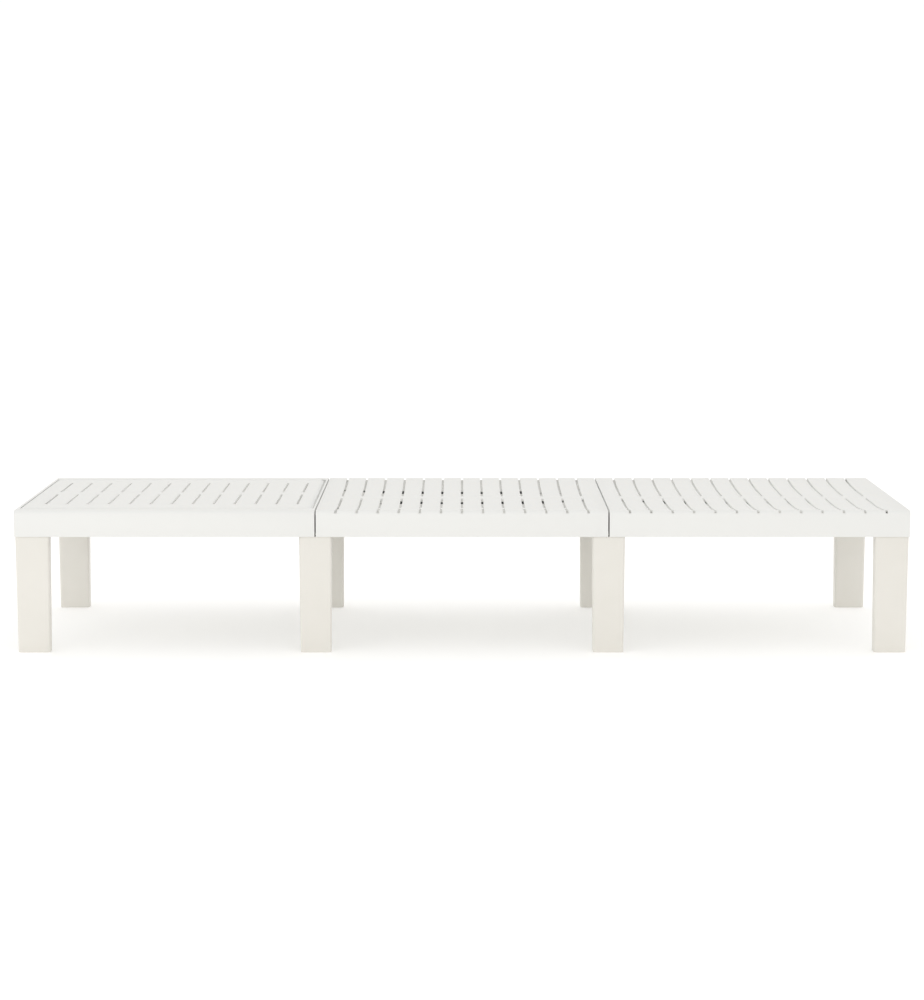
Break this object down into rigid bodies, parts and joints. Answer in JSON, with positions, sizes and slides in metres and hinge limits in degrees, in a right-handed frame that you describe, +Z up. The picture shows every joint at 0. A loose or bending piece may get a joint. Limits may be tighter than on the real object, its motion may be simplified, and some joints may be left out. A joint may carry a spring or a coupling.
{
  "type": "reclining sun lounger",
  "caption": "Low slatted sun lounger in three modules on eight legs, with a hinged backrest held up by a folding prop.",
  "frame": {"origin": "middle of the rectangle that the lounger covers, on the ground", "axes": "+X along the lounger from the head end to the foot end, +Y to the left side, +Z up"},
  "size_m": [1.869, 0.6, 0.3],
  "materials": {
    "white_plastic": "fine moulded grain, satin",
    "leg_plastic": "satin moulded plastic",
    "zinc_steel": "zinc plated"
  },
  "bodies": {
    "frame": {"head_frame": "white_plastic", "seat_deck": "white_plastic", "foot_deck": "white_plastic", "head_leg_left": "leg_plastic", "head_leg_right": "leg_plastic", "front_mid_leg_left": "leg_plastic", "front_mid_leg_right": "leg_plastic", "rear_mid_leg_left": "leg_plastic", "rear_mid_leg_right": "leg_plastic", "foot_leg_left": "leg_plastic", "foot_leg_right": "leg_plastic", "hinge_pin_left": "zinc_steel", "hinge_pin_right": "zinc_steel", "module_bolts": "zinc_steel", "module_nuts": "zinc_steel", "module_washers": "zinc_steel", "leg_screws": "zinc_steel"},
    "backrest": {"backrest_panel": "white_plastic", "prop_pin_left": "zinc_steel", "prop_pin_right": "zinc_steel"},
    "prop": {"prop_frame": "white_plastic"}
  },
  "joints": [
    {"name": "backrest_recline", "type": "hinge", "parent": "frame", "child": "backrest", "pos_m": [-0.327, 0, 0.286], "axis": [0, 1, 0], "range_deg": [0, 45]},
    {"name": "prop_fold", "type": "hinge", "parent": "backrest", "child": "prop", "pos_m": [-0.615, 0, 0.28], "axis": [0, -1, 0], "range_deg": [0, 106]}
  ],
  "couplings": [
    {"joint": "prop_fold", "follows": "backrest_recline", "ratio": 2.3422}
  ]
}
